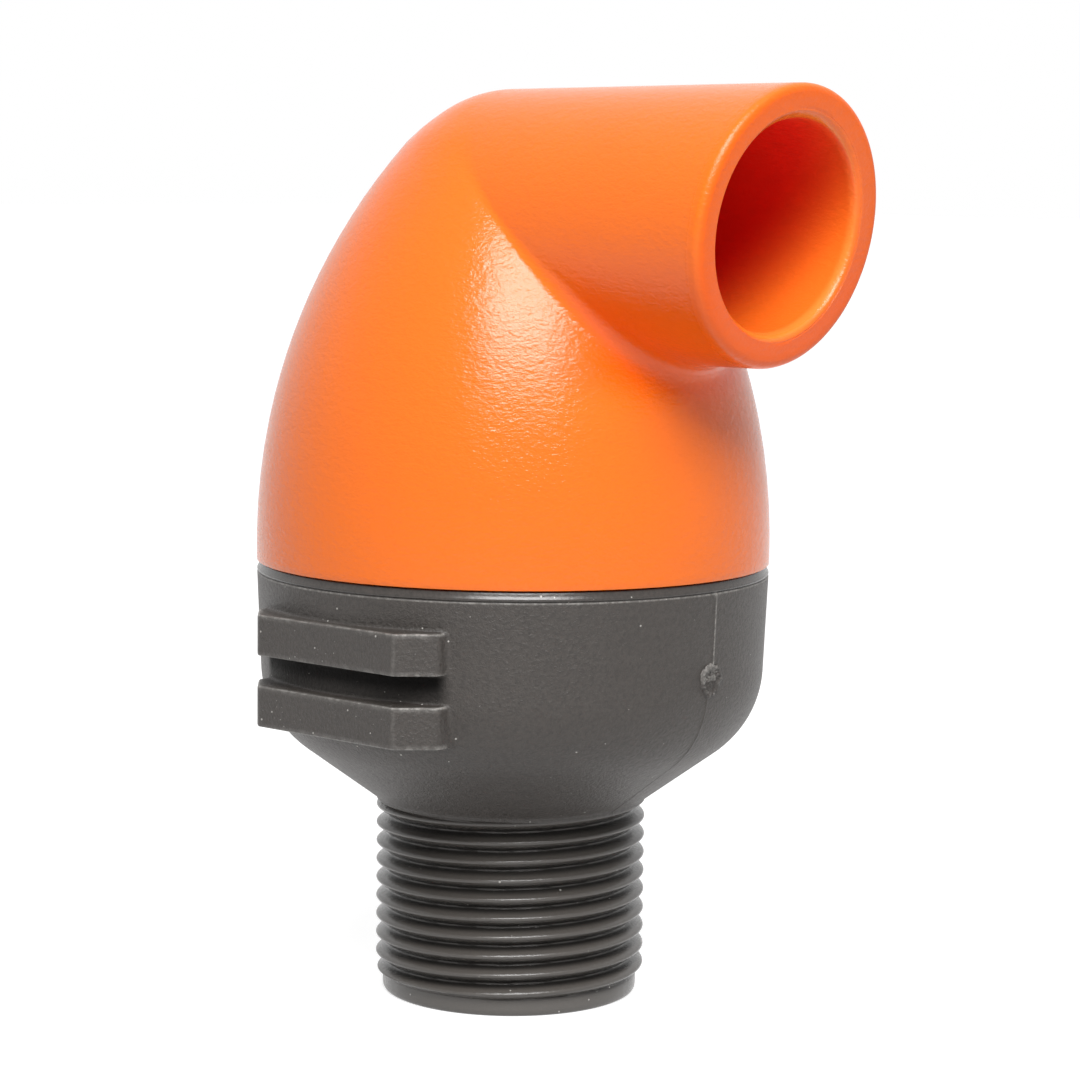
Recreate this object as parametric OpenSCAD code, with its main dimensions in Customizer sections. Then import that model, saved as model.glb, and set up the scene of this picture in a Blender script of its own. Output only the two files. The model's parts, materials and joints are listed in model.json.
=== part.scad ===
// Air release valve for a threaded pipe outlet.
// Origin: valve axis at the inlet end face. +Z up, the outlet spout points along +X.
// Dry, the cage stands on the base's ribs and both orifices are open.
// Rising water lifts the float onto the nozzle, then the cage onto the orifice seat.

/* [Inlet] */
// Radius of the flow bore through the threaded inlet
inlet_bore_r = 12; // [10:0.1:13]
// Radius over the crests of the inlet thread
thread_r = 16.62; // [15.5:0.01:18]
// Length of the inlet thread
thread_len = 21.7; // [20.5:0.1:24]
// Pitch of the inlet thread
thread_pitch = 2.309; // [1.8:0.001:2.4]
// Number of thread ridges
thread_turns = 9; // [6:1:9]
// Width of a ridge's crest
crest_w = 0.5; // [0.3:0.1:0.7]
// Width of the root between two ridges
root_w = 0.54; // [0.3:0.01:0.7]
// Slope of a ridge's flanks
flank_angle = 27.5; // [25:0.5:30]
// Length of the plain lead-in collar below the thread
lead_len = 2.6; // [1.5:0.1:4]
// Chamfer on the end of the collar
lead_chamfer = 0.6; // [0.2:0.1:1]

/* [Base] */
// Radius of base and cap where they meet
joint_r = 31.45; // [29:0.05:36]
// Height of the joint above the inlet end
base_h = 53.5; // [47:0.1:64]
// Wall of the base's shell
base_wall = 3.6; // [2.8:0.1:4.4]
// Wall of the base beside the cap's skirt
rim_wall = 2.7; // [2:0.1:3.3]
// Draft of the base's side wall
base_draft = 2.4; // [0.5:0.1:4]
// Rise of the shoulder cone from the horizontal
cone_angle = 36; // [25:0.5:38]
// Radius of the shoulder between cone and side wall
shoulder_r = 12.4; // [11:0.1:17]

/* [Wrench lugs] */
// Distance from the axis to the lugs' flats
lug_flat = 32.5; // [31.8:0.1:36]
// Half the width of a flat
lug_half_w = 11.2; // [8:0.1:14]
// Width of the 45 degree face at each end of a flat
lug_chamfer = 3.7; // [2:0.1:5]
// Height of one lug
lug_h = 4.9; // [3:0.1:6]
// Joint to the top of the upper lug
lug_drop = 4.9; // [3:0.1:7]
// Gap between the upper and the lower lug
lug_gap = 3.6; // [2:0.1:5]

/* [Ribs in the base] */
// Number of ribs that guide and carry the cage
rib_count = 6; // [4:1:8]
// Thickness of a rib
rib_t = 2; // [1.4:0.1:3]
// Rise of the ribs' ledge above the cone
ledge_rise = 1.6; // [1.5:0.1:4]
// Reach of the ledge under the cage
ledge_reach = 4.5; // [3:0.1:6]

/* [Cap] */
// Wall of the dome
cap_wall = 3.2; // [2.4:0.1:4]
// Height of the straight band above the joint
band_h = 2.5; // [1.5:0.1:4]
// Open line between cap and base
joint_gap = 0.2; // [0.1:0.05:0.4]
// Radius of the spout
spout_r = 16.2; // [15:0.1:18]
// Height of the spout's axis above the joint
spout_rise = 41.6; // [37:0.1:50]
// Distance from the valve axis to the middle of the mouth
spout_reach = 42.1; // [37:0.1:50]
// Lean of the mouth from the vertical
mouth_lean = 8.7; // [4:0.1:14]
// Rounding of the mouth's outer edge
mouth_round = 1.7; // [1:0.1:2]
// Rounding of the mouth's inner edge
mouth_lip = 0.8; // [0.4:0.1:1]
// Radius of the outlet bore
outlet_r = 12.1; // [11:0.1:13]
// Depth of the flat on the bore's ball end
core_flat = 0.3; // [0.1:0.1:1]
// How far the spout's ball end stands proud of the dome
crown_proud = 0.25; // [0.15:0.05:0.5]

/* [Cap skirt] */
// Length of the skirt that enters the base
skirt_len = 9.5; // [8:0.1:12]
// Wall of the skirt
skirt_wall = 3.4; // [3:0.1:4.5]
// Clearance between skirt and base
skirt_clear = 0.3; // [0.25:0.05:0.5]
// Depth of the run-out that the cap's thread stands on
thread_relief = 0.8; // [0.4:0.1:1]
// Joint to the middle of the O-ring groove
groove_drop = 2.6; // [2:0.1:3.5]
// Section of the cap's O-ring
o_ring_d = 2; // [1.6:0.1:2.2]
// Clearance round the cap's O-ring
o_ring_clear = 0.2; // [0.15:0.05:0.3]

/* [Large orifice] */
// Radius of the large orifice
orifice_r = 9; // [8:0.1:10]
// Radius of the turret that holds the seat
turret_r = 15; // [14.5:0.1:16]
// Drop of the turret below the spout
turret_drop = 1.4; // [0.8:0.1:3]
// Radius of the pressed-in seat
seat_r = 12.5; // [11.8:0.1:13]
// Height of the seat inside its pocket
seat_h = 3.6; // [2.5:0.1:4.5]
// Width of the seat's lip
lip_w = 1.6; // [1:0.1:2]
// Height of the seat's lip
lip_h = 1; // [0.6:0.1:1.5]

/* [Cage] */
// Lift of the cage from the ribs to the seat
cage_lift = 6.8; // [5:0.1:8]
// Room between the cage and the cap's skirt
cage_room = 1.2; // [0.9:0.1:2]
// Clearance between the cage and the ribs
guide_clear = 0.4; // [0.3:0.05:0.6]
// Thickness of the cage's legs and hoop
leg_t = 2.4; // [1.8:0.1:3]
// Width of a leg
leg_w = 7; // [5:0.1:9]
// Height of the cage's lower hoop
hoop_h = 3; // [2.6:0.1:4]
// Radius of the cage's disc
disc_r = 15.5; // [15:0.1:17]
// Thickness of the disc
disc_t = 3; // [2.4:0.1:4]
// Height of the rim round the main seal
rim_h = 1; // [0.5:0.1:1.4]
// Width of the rim round the main seal
rim_w = 1.4; // [0.8:0.1:1.6]
// Radius of the main seal
seal_r = 13.6; // [12.6:0.1:14]
// Thickness of the main seal
seal_t = 2.4; // [2:0.1:3]
// Radius of the seal's retainer
retainer_r = 8.2; // [7:0.1:8.3]
// Height of the seal's retainer
retainer_h = 3; // [2.4:0.1:4]

/* [Nozzle] */
// Radius of the nozzle's stem
stem_r = 3.4; // [2.8:0.1:4]
// Radius of the small orifice
jet_r = 0.8; // [0.5:0.1:1.2]
// Corner radius of the nozzle's hexagon
hex_r = 6.6; // [6:0.1:7.5]
// Thickness of the hexagon
hex_t = 1.4; // [1:0.1:2]
// Length of the nozzle's tip
tip_len = 1; // [0.6:0.1:1.5]
// Section of the nozzle's O-ring
nozzle_ring_d = 1.4; // [1:0.1:1.6]

/* [Float] */
// Rise of the float inside the cage
float_rise = 2.9; // [2:0.1:4]
// Clearance between the float and the legs
float_clear = 0.6; // [0.4:0.1:1]
// Wall of the float
float_wall = 1.5; // [1.1:0.1:2]
// Rounding of the float's lower edge
float_round = 3; // [2:0.1:4]
// Thickness of the float's lid
lid_t = 2; // [1.8:0.1:3]
// Depth of the lid's spigot in the shell
spigot_h = 2.5; // [1.5:0.1:4]
// Radius of the float's rubber pad
pad_r = 5; // [4:0.1:6]
// Height of the pad above the lid
pad_proud = 1; // [0.6:0.1:1.5]
// Depth of the pad in the lid
pad_sunk = 1.1; // [0.6:0.1:1.2]
// Thickness of the ring that keeps the float in
float_ring_t = 2; // [1.5:0.1:2.5]
// Width of that ring
float_ring_w = 5; // [3.5:0.1:6]

/* [Fits] */
// Clearance of pieces that are pressed or screwed together
fit_clear = 0.05; // [0.03:0.01:0.1]
// Gap under pieces that rest on another
rest_gap = 0.1; // [0.05:0.05:0.3]

/* [Hidden] */
$fn = 96;
eps = 0.01;
// Longer than the valve, for cuts that run right through
beyond = base_h + spout_rise + spout_reach;

// Base: side wall and cone are lines with an outward normal, moved inward by an inset
thread_top = lead_len + thread_len;
ridge_foot = thread_pitch - root_w;
lead_r = thread_r - (ridge_foot - crest_w) / (2 * tan(flank_angle));
// The top ridge runs into the cone
function crest_z(i) = thread_top - ridge_foot / 2 - i * thread_pitch;
function ridge(z) = [[lead_r, z - ridge_foot / 2], [thread_r, z - crest_w / 2],
                     [thread_r, z + crest_w / 2], [lead_r, z + ridge_foot / 2]];
side_n = [cos(base_draft), -sin(base_draft)];
cone_n = [sin(cone_angle), -cos(cone_angle)];
side_d = side_n * [joint_r, base_h];
cone_d = cone_n * [thread_r, thread_top];
function base_corner(inset) =
    let (s = side_d - inset, c = cone_d - inset, det = side_n[0] * cone_n[1] - side_n[1] * cone_n[0])
    [(s * cone_n[1] - c * side_n[1]) / det, (side_n[0] * c - cone_n[0] * s) / det];
function cone_z(r, inset) = (cone_n[0] * r - cone_d + inset) / -cone_n[1];
function side_r(z, inset) = (side_d - inset - side_n[1] * z) / side_n[0];
shoulder_mid = base_corner(shoulder_r);
function shoulder_point(inset, n) = shoulder_mid + (shoulder_r - inset) * n;

// Cap's skirt in the base's mouth
mouth_r = joint_r - rim_wall;
skirt_r = mouth_r - skirt_clear;
skirt_in_r = skirt_r - skirt_wall;
skirt_z = base_h - skirt_len;
groove_z = base_h - groove_drop;
o_ring_mid_r = mouth_r - o_ring_clear - o_ring_d / 2;
groove_r = o_ring_mid_r - o_ring_d / 2 - o_ring_clear;
groove_h = o_ring_d + 2 * o_ring_clear;
mouth_z = skirt_z - guide_clear;

// Dome: an arc that starts upright on the band and runs just under the spout's ball end
axis_z = base_h + spout_rise;
arc_z = base_h + band_h;
arc_k = crown_proud - spout_r;
arc_r = (joint_r ^ 2 + (axis_z - arc_z) ^ 2 - arc_k ^ 2) / (2 * (joint_r + arc_k));
arc_mid_r = joint_r - arc_r;
arc_to_ball = [-arc_mid_r, axis_z - arc_z];
dome_top_z = axis_z + spout_r * arc_to_ball[1] / norm(arc_to_ball);
chamber_top_z = axis_z - outlet_r / 2;

// Cage and ribs
cage_r = skirt_in_r - cage_room;
guide_r = cage_r + guide_clear;
leg_in_r = cage_r - leg_t;
ledge_z = cone_z(guide_r, base_wall) + ledge_rise;
rib_top_z = skirt_z - 2 * guide_clear;
hoop_z = ledge_z + rest_gap;

// Stack from the seat down to the float
turret_z = axis_z - spout_r - turret_drop;
lip_z = turret_z - lip_h;
seal_top_z = lip_z - cage_lift - rest_gap;
disc_top_z = seal_top_z - seal_t;
disc_z = disc_top_z - disc_t;
tip_z = disc_z - hex_t - tip_len;
pad_top_z = tip_z - float_rise - rest_gap;
lid_top_z = pad_top_z - pad_proud;
lid_z = lid_top_z - lid_t;
float_z = hoop_z + float_ring_t + rest_gap;
float_r = leg_in_r - float_clear;
shell_in_r = float_r - float_wall;
stem_hole_r = stem_r + fit_clear;
ring_pocket_r = stem_hole_r + nozzle_ring_d + 4 * fit_clear;
ring_pocket_h = nozzle_ring_d + 2 * fit_clear;

orange = "#ff8a30";
grey = "#585654";
rubber = "#222222";
acetal = "#e8e6df";
brass = "#b89550";

// Flat half-section of the base at an inward offset, without the inlet
module base_section(low, inset, top) {
    corner = base_corner(inset);
    tip = base_corner(inset - shoulder_r / 4);
    difference() {
        polygon([[0, cone_z(low, inset)], [low, cone_z(low, inset)], corner, [side_r(top, inset), top], [0, top]]);
        difference() {
            polygon([shoulder_mid, shoulder_point(inset, side_n), tip, shoulder_point(inset, cone_n)]);
            translate(shoulder_mid) circle(shoulder_r - inset);
        }
    }
}

// One pair of bars on the side that faces -Y
module wrench_lugs() {
    end_x = lug_half_w + lug_chamfer;
    depth = lug_flat - sqrt(guide_r ^ 2 - end_x ^ 2);
    for (i = [0, 1])
        translate([0, -lug_flat, base_h - lug_drop - lug_h - i * (lug_h + lug_gap)])
            linear_extrude(lug_h)
                polygon([[-lug_half_w, 0], [lug_half_w, 0], [end_x, lug_chamfer], [end_x, depth],
                         [-end_x, depth], [-end_x, lug_chamfer]]);
}

// Stepped rib: the ledge carries the cage, the upper part guides it
module rib() {
    inset = base_wall / 2;
    ledge_in_r = guide_r - ledge_reach;
    rotate([90, 0, 0])
        translate([0, 0, -rib_t / 2])
            linear_extrude(rib_t)
                polygon([
                    [ledge_in_r, cone_z(ledge_in_r, inset)],
                    shoulder_point(inset, cone_n),
                    shoulder_point(inset, (side_n + cone_n) / norm(side_n + cone_n)),
                    shoulder_point(inset, side_n),
                    [side_r(rib_top_z, inset), rib_top_z],
                    [guide_r, rib_top_z],
                    [guide_r, ledge_z],
                    [ledge_in_r, ledge_z]
                ]);
}

module base() {
    color(grey) {
        difference() {
            union() {
                rotate_extrude() {
                    polygon([
                        [0, 0], [lead_r - lead_chamfer, 0], [lead_r, lead_chamfer],
                        for (i = [thread_turns - 1 : -1 : 1]) each ridge(crest_z(i)),
                        ridge(crest_z(0))[0], ridge(crest_z(0))[1], [thread_r, thread_top + eps], [0, thread_top + eps]
                    ]);
                    base_section(thread_r, 0, base_h);
                }
                for (a = [0, 180]) rotate(a) wrench_lugs();
            }
            rotate_extrude() base_section(inlet_bore_r, base_wall, mouth_z + eps);
            translate([0, 0, -eps]) cylinder(r = inlet_bore_r, h = cone_z(inlet_bore_r, base_wall) + 2 * eps);
            translate([0, 0, mouth_z]) cylinder(r = mouth_r, h = skirt_len + 1);
        }
        for (i = [0 : rib_count - 1]) rotate(i * 360 / rib_count) rib();
    }
}

// Half-section under the dome's arc, drawn in by a wall
module dome_section(inset, low, top, reach) {
    intersection() {
        translate([arc_mid_r, arc_z]) circle(arc_r - inset);
        translate([0, low]) square([reach, top - low]);
    }
}

module cap_section() {
    dome_section(0, arc_z, dome_top_z, joint_r + 1);
    translate([0, base_h + joint_gap]) square([joint_r, band_h - joint_gap]);
    translate([0, skirt_z]) square([skirt_r, skirt_len + joint_gap + eps]);
}

// Tube along +X with a ball end at the valve axis, flattened at its pole
module ball_end_tube(r, len) {
    translate([0, 0, axis_z])
        rotate([0, 90, 0])
            rotate_extrude() {
                intersection() {
                    circle(r);
                    translate([0, core_flat - r]) square([r, r - core_flat]);
                }
                square([r, len]);
            }
}

// Places things on the leaning mouth, +Z pointing out of the spout
module at_mouth() {
    translate([spout_reach, 0, axis_z]) rotate([0, 90 + mouth_lean, 0]) children();
}

// What is cut off beyond the mouth, and the rounding of its two edges
module mouth_cut() {
    mean_r = spout_r * (1 + 1 / cos(mouth_lean)) / 2;
    at_mouth() {
        cylinder(r = beyond, h = beyond);
        rotate_extrude() {
            difference() {
                translate([mean_r - mouth_round, -mouth_round]) square([3 * mouth_round, 2 * mouth_round]);
                translate([mean_r - mouth_round, -mouth_round]) circle(mouth_round);
            }
            difference() {
                translate([0, -mouth_lip]) square([outlet_r + mouth_lip, 2 * mouth_lip]);
                translate([outlet_r + mouth_lip, -mouth_lip]) circle(mouth_lip);
            }
        }
    }
}

module cap() {
    color(orange)
        difference() {
            union() {
                difference() {
                    rotate_extrude() cap_section();
                    rotate_extrude() {
                        dome_section(cap_wall, arc_z, chamber_top_z, skirt_in_r);
                        translate([0, skirt_z - 1]) square([skirt_in_r, arc_z - skirt_z + 1]);
                    }
                }
                ball_end_tube(spout_r, spout_reach + spout_r);
                translate([0, 0, turret_z]) cylinder(r = turret_r, h = axis_z - turret_z);
            }
            mouth_cut();
            ball_end_tube(outlet_r, beyond);
            translate([0, 0, turret_z - 1]) cylinder(r = orifice_r, h = axis_z - turret_z);
            translate([0, 0, turret_z - 1]) cylinder(r = seat_r + fit_clear, h = seat_h + fit_clear + 1);
            rotate_extrude() {
                translate([groove_r, groove_z - groove_h / 2]) square([skirt_r, groove_h]);
                translate([skirt_r - thread_relief, skirt_z - 1])
                    square([skirt_r, groove_z - groove_h - skirt_z + 1]);
            }
        }
}

module ring(mid_r, section_d, z) {
    translate([0, 0, z]) rotate_extrude() translate([mid_r, 0]) circle(section_d / 2);
}

module cap_o_ring() {
    color(rubber) ring(o_ring_mid_r, o_ring_d, groove_z);
}

module orifice_seat() {
    color(acetal)
        difference() {
            union() {
                translate([0, 0, turret_z]) cylinder(r = seat_r, h = seat_h);
                translate([0, 0, lip_z]) cylinder(r = orifice_r + lip_w, h = lip_h + eps);
            }
            translate([0, 0, lip_z - 1]) cylinder(r = orifice_r, h = lip_h + seat_h + 2);
        }
}

// Half-section of the cage before its windows are cut: disc, seal rim, wall and lower hoop
module cage_section() {
    rim_in_r = seal_r + fit_clear;
    difference() {
        translate([0, hoop_z]) square([cage_r, disc_top_z - hoop_z]);
        translate([0, hoop_z - 1]) square([leg_in_r, disc_z - hoop_z + 1]);
    }
    translate([rim_in_r, disc_z]) square([rim_w, disc_t + rim_h]);
}

// Plan of the windows between the arms and legs
module cage_windows() {
    difference() {
        circle(cage_r + 1);
        circle(disc_r);
        for (a = [45, 135]) rotate(a) square([2 * cage_r + 4, leg_w], center = true);
    }
}

module poppet_cage() {
    color(acetal)
        difference() {
            rotate_extrude() cage_section();
            translate([0, 0, hoop_z + hoop_h]) linear_extrude(disc_top_z - hoop_z) cage_windows();
            translate([0, 0, disc_z - 1]) cylinder(r = stem_hole_r, h = disc_t + 2);
            translate([0, 0, disc_z - 1]) cylinder(r = ring_pocket_r, h = ring_pocket_h + 1);
        }
}

module main_seal() {
    color(rubber)
        translate([0, 0, disc_top_z])
            difference() {
                cylinder(r = seal_r, h = seal_t);
                translate([0, 0, -1]) cylinder(r = stem_hole_r, h = seal_t + 2);
            }
}

// Round nut with a domed top
module seal_retainer() {
    dome_r = (retainer_r ^ 2 + (retainer_h / 2) ^ 2) / retainer_h;
    color(brass)
        translate([0, 0, seal_top_z])
            difference() {
                intersection() {
                    cylinder(r = retainer_r, h = retainer_h);
                    translate([0, 0, retainer_h - dome_r]) sphere(dome_r);
                }
                translate([0, 0, -1]) cylinder(r = stem_hole_r, h = retainer_h + 2);
            }
}

module nozzle() {
    color(brass)
        difference() {
            union() {
                translate([0, 0, disc_z - hex_t]) cylinder(r = stem_r, h = hex_t + disc_t + seal_t + retainer_h / 2);
                translate([0, 0, disc_z - hex_t]) cylinder(r = hex_r, h = hex_t, $fn = 6);
                translate([0, 0, tip_z]) cylinder(r1 = jet_r + tip_len, r2 = jet_r + 2 * tip_len, h = tip_len + eps);
            }
            translate([0, 0, tip_z - 1]) cylinder(r = jet_r, h = seal_top_z + retainer_h - tip_z + 2);
        }
}

module nozzle_o_ring() {
    color(rubber)
        ring(stem_hole_r + fit_clear + nozzle_ring_d / 2, nozzle_ring_d, disc_z + ring_pocket_h / 2);
}

module float_retainer() {
    color(acetal)
        translate([0, 0, hoop_z])
            difference() {
                cylinder(r = leg_in_r - fit_clear, h = float_ring_t);
                translate([0, 0, -1]) cylinder(r = leg_in_r - float_ring_w, h = float_ring_t + 2);
            }
}

// Half-section of the float's cup, drawn in by a wall
module float_section(inset, top) {
    round_r = float_round - inset;
    translate([0, float_z + inset]) square([float_r - float_round, top - float_z - inset]);
    translate([0, float_z + float_round]) square([float_r - inset, top - float_z - float_round]);
    intersection() {
        translate([float_r - float_round, float_z + float_round]) circle(round_r);
        translate([float_r - float_round, float_z]) square([float_round, float_round]);
    }
}

module float_shell() {
    color(acetal)
        rotate_extrude()
            difference() {
                float_section(0, lid_z);
                float_section(float_wall, lid_z + 1);
            }
}

module float_lid() {
    color(acetal)
        difference() {
            union() {
                translate([0, 0, lid_z]) cylinder(r = float_r, h = lid_t);
                translate([0, 0, lid_z - spigot_h]) cylinder(r = shell_in_r - fit_clear, h = spigot_h + eps);
            }
            translate([0, 0, lid_z - spigot_h - 1]) cylinder(r = shell_in_r - float_wall, h = spigot_h + 1);
            translate([0, 0, lid_top_z - pad_sunk]) cylinder(r = pad_r + fit_clear, h = pad_sunk + 1);
        }
}

module float_pad() {
    color(rubber)
        translate([0, 0, lid_top_z - pad_sunk]) cylinder(r = pad_r, h = pad_sunk + pad_proud);
}

base();
cap();
cap_o_ring();
orifice_seat();
poppet_cage();
main_seal();
seal_retainer();
nozzle();
nozzle_o_ring();
float_retainer();
float_shell();
float_lid();
float_pad();
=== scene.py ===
"""Dresses the air release valve. Shapes are worked out in millimetres and turned into metres at the end."""
import json
import math

import bmesh
import bpy
import numpy as np
from mathutils import Matrix, Vector


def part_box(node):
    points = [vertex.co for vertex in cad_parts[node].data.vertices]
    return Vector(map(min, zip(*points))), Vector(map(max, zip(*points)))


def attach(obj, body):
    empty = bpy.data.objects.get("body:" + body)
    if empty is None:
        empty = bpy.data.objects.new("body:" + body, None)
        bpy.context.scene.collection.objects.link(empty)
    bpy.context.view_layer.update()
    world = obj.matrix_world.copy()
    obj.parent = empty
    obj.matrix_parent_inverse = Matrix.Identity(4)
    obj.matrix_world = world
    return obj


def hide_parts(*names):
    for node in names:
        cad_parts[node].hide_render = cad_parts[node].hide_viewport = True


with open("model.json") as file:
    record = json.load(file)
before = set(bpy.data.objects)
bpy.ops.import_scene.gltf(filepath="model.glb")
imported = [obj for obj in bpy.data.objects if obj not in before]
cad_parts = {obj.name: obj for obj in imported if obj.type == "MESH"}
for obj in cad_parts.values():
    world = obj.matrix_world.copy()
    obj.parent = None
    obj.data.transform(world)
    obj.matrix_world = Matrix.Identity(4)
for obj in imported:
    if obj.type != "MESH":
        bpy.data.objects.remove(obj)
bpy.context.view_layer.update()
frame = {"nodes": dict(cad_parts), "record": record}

MM = 0.001

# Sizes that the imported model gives
mounts = {mount["name"]: mount for mount in frame["record"]["mounts"]}
base_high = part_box("base")[1]
cap_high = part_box("cap")[1]
JOINT_R = cap_high.y / MM
BASE_H = base_high.z / MM
LUG_FLAT = base_high.y / MM
AXIS_Z = mounts["outlet_bore"]["pos_m"][2] / MM
OUTLET_R = mounts["outlet_bore"]["dims"]["r_mm"]
SPOUT_R = cap_high.z / MM - AXIS_Z
THREAD_R = mounts["inlet_thread"]["dims"]["r_mm"]
BORE_R = mounts["inlet_bore"]["dims"]["r_mm"]

# Sizes repeated from the part's source
LEAD_LEN, THREAD_LEN = 2.6, 21.7
BASE_WALL, RIM_WALL = 3.6, 2.7
BASE_DRAFT, CONE_ANGLE, SHOULDER_R = math.radians(2.4), math.radians(36), 12.4
LUG_HALF_W, LUG_CHAMFER = 11.2, 3.7
LUG_H, LUG_DROP, LUG_GAP = 4.9, 4.9, 3.6
BAND_H, JOINT_GAP = 2.5, 0.2
REACH, LEAN = 42.1, math.radians(8.7)
SKIRT_LEN, SKIRT_WALL, SKIRT_CLEAR, THREAD_RELIEF = 9.5, 3.4, 0.3, 0.8
GROOVE_DROP, GROOVE_H, GROOVE_R = 2.6, 2.4, 26.35
TURRET_R, TURRET_DROP, SEAT_POCKET_R, SEAT_H, ORIFICE_R = 15.0, 1.4, 12.55, 3.6, 9.0
RIB_COUNT, RIB_T, RIB_IN_R, RIB_LEDGE_R, RIB_LEDGE_Z, RIB_TOP_Z = 6, 2.0, 24.25, 19.75, 35.9, 43.2

# Middle heights of the two lugs on a side and of the gap between them
LUG_UPPER = BASE_H - LUG_DROP - LUG_H / 2
LUG_LOWER = LUG_UPPER - LUG_H - LUG_GAP
LUG_GAP_Z = BASE_H - LUG_DROP - LUG_H - LUG_GAP / 2

# Detail that only the dressed model has
CAP_COLUMNS = 240
SHARP = math.radians(40)
MOUTH_EDGE = 1.1
# The mouth's inner lip: width, depth and last angle, each with its swing from the -Y side to the +Y side
MOUTH_LIP, LIP_SHARE, LIP_SWING = 1.4, 0.72, 0.28
LIP_DEEP, LIP_DEEP_SWING = 2.15, 0.85
LIP_TURN, LIP_TURN_SWING = 65.0, 25.0
# Level of the pivot that the cap's slanted rings fan from, and the angles between which they cross the crease
FAN_Z = 71.0
CREASE_FROM, CREASE_TO = 125, 142
# Fillet along the crease from its top to below the mouth, and the fit of spout and dome to the photograph
CREASE_TIGHT, CREASE_SOFT = 0.3, 3.0
CROWN_SQUASH, CROWN_PROUD, SPOUT_SAG = 1.03, 0.0, 0.4
DOME_ROUND, MOUTH_OVAL = 6.0, 0.01
# Threads of the inlet and of the cap, and the plain collar below the inlet's
PITCH, THREAD_PHASE, THREAD_DEPTH, ROOT_ROUND = 2.309, 0.87, 1.3, 0.16
LEAD_R, COLLAR_H = 15.75, 2.05
CAP_PITCH = 3.0
# Rounding of the lugs, the mould's seam and the gate scar
LUG_EDGE, LUG_ROOT = 0.26, 0.4
SEAM_H = 0.08
SCAR_Z, SCAR_Y, SCAR_POINTS = 41.9, 0.7, 44


# Helpers for numbers

def smooth(low, high, value):
    """0 below low, 1 above high, with a soft ramp between."""
    t = np.clip((value - low) / (high - low), 0.0, 1.0)
    return t * t * (3.0 - 2.0 * t)


def join(a, b, radius):
    """Distance to the union of two shapes with a fillet where they meet."""
    corner = np.hypot(np.maximum(radius - a, 0.0), np.maximum(radius - b, 0.0))
    return np.maximum(radius, np.minimum(a, b)) - corner


def meet(a, b, radius):
    """Distance to the intersection of two shapes with a rounded edge."""
    return -join(-a, -b, radius)


def along_rays(inside, start, way, reach):
    """Where each ray leaves the shape: inside is a distance function of x, y and z."""
    near = np.zeros(start.shape[0])
    far = np.full(start.shape[0], float(reach))
    halvings = 44
    for _ in range(halvings):
        middle = (near + far) / 2
        point = start + way * middle[:, None]
        within = inside(point[:, 0], point[:, 1], point[:, 2]) < 0
        near = np.where(within, middle, near)
        far = np.where(within, far, middle)
    return start + way * near[:, None]


def thread_wave(z, angle, pitch, phase):
    """Height of a right-hand thread from 0 in the root to 1 on the crest."""
    turn = (z - phase) / pitch - angle / (2 * math.pi)
    rise = np.hypot(1.0 - 2.0 * np.abs(turn - np.round(turn)), ROOT_ROUND)
    rise = (rise - ROOT_ROUND) / (math.hypot(1.0, ROOT_ROUND) - ROOT_ROUND)
    return 0.5 * (0.5 - 0.5 * np.cos(math.pi * rise)) + 0.5 * (1.0 - (1.0 - rise) ** 2)


# Helpers for meshes

def row_edges(bm, row):
    """The edges round a closed row of vertices."""
    return [bm.edges.get((a, b)) for a, b in zip(row, row[1:] + row[:1])]


def grow_rings(bm, rings):
    """Skins a list of rings, each an array of points, and returns the first and the last row of vertices."""
    row = bmesh.ops.create_circle(bm, radius=1.0, segments=len(rings[0]))["verts"]
    for vertex, place in zip(row, rings[0]):
        vertex.co = place
    first = row
    edges = row_edges(bm, row)
    for ring in rings[1:]:
        grown = bmesh.ops.extrude_edge_only(bm, edges=edges)["geom"]
        fresh = {item for item in grown if isinstance(item, bmesh.types.BMVert)}
        following = []
        for vertex, place in zip(row, ring):
            twin = next(e.other_vert(vertex) for e in vertex.link_edges if e.other_vert(vertex) in fresh)
            twin.co = place
            following.append(twin)
        row = following
        edges = row_edges(bm, row)
    return first, row


def close_row(bm, row):
    """Fills the hole inside a row of vertices."""
    bmesh.ops.edgeloop_fill(bm, edges=row_edges(bm, row))


def finish_piece(bm, name, material):
    """Turns millimetres into metres and makes the object."""
    same_spot = 0.0005
    bmesh.ops.remove_doubles(bm, verts=bm.verts, dist=same_spot)
    bmesh.ops.recalc_face_normals(bm, faces=bm.faces)
    bmesh.ops.scale(bm, vec=(MM, MM, MM), verts=bm.verts)
    for face in bm.faces:
        face.smooth = True
    mesh = bpy.data.meshes.new(name)
    bm.to_mesh(mesh)
    bm.free()
    mesh.set_sharp_from_angle(angle=SHARP)
    mesh.materials.append(material)
    piece = bpy.data.objects.new(name, mesh)
    bpy.context.scene.collection.objects.link(piece)
    return piece


# Helpers for materials

class Wire:
    """An output of a node. Arithmetic with wires and numbers makes math nodes."""

    def __init__(self, net, socket):
        self.net = net
        self.socket = socket

    def math(self, operation, *others):
        return self.net.node("ShaderNodeMath", {"operation": operation}, dict(enumerate((self, *others))), 0)

    def __add__(self, other):
        return self.math("ADD", other)

    def __sub__(self, other):
        return self.math("SUBTRACT", other)

    def __mul__(self, other):
        return self.math("MULTIPLY", other)

    def __rsub__(self, other):
        return self.net.node("ShaderNodeMath", {"operation": "SUBTRACT"}, {0: other, 1: self}, 0)

    __radd__ = __add__
    __rmul__ = __mul__

    def ramp(self, low, high):
        """0 at low, 1 at high, soft between."""
        sockets = {"Value": self, "From Min": low, "From Max": high}
        return self.net.node("ShaderNodeMapRange", {"interpolation_type": "SMOOTHSTEP"}, sockets, 0)


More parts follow.
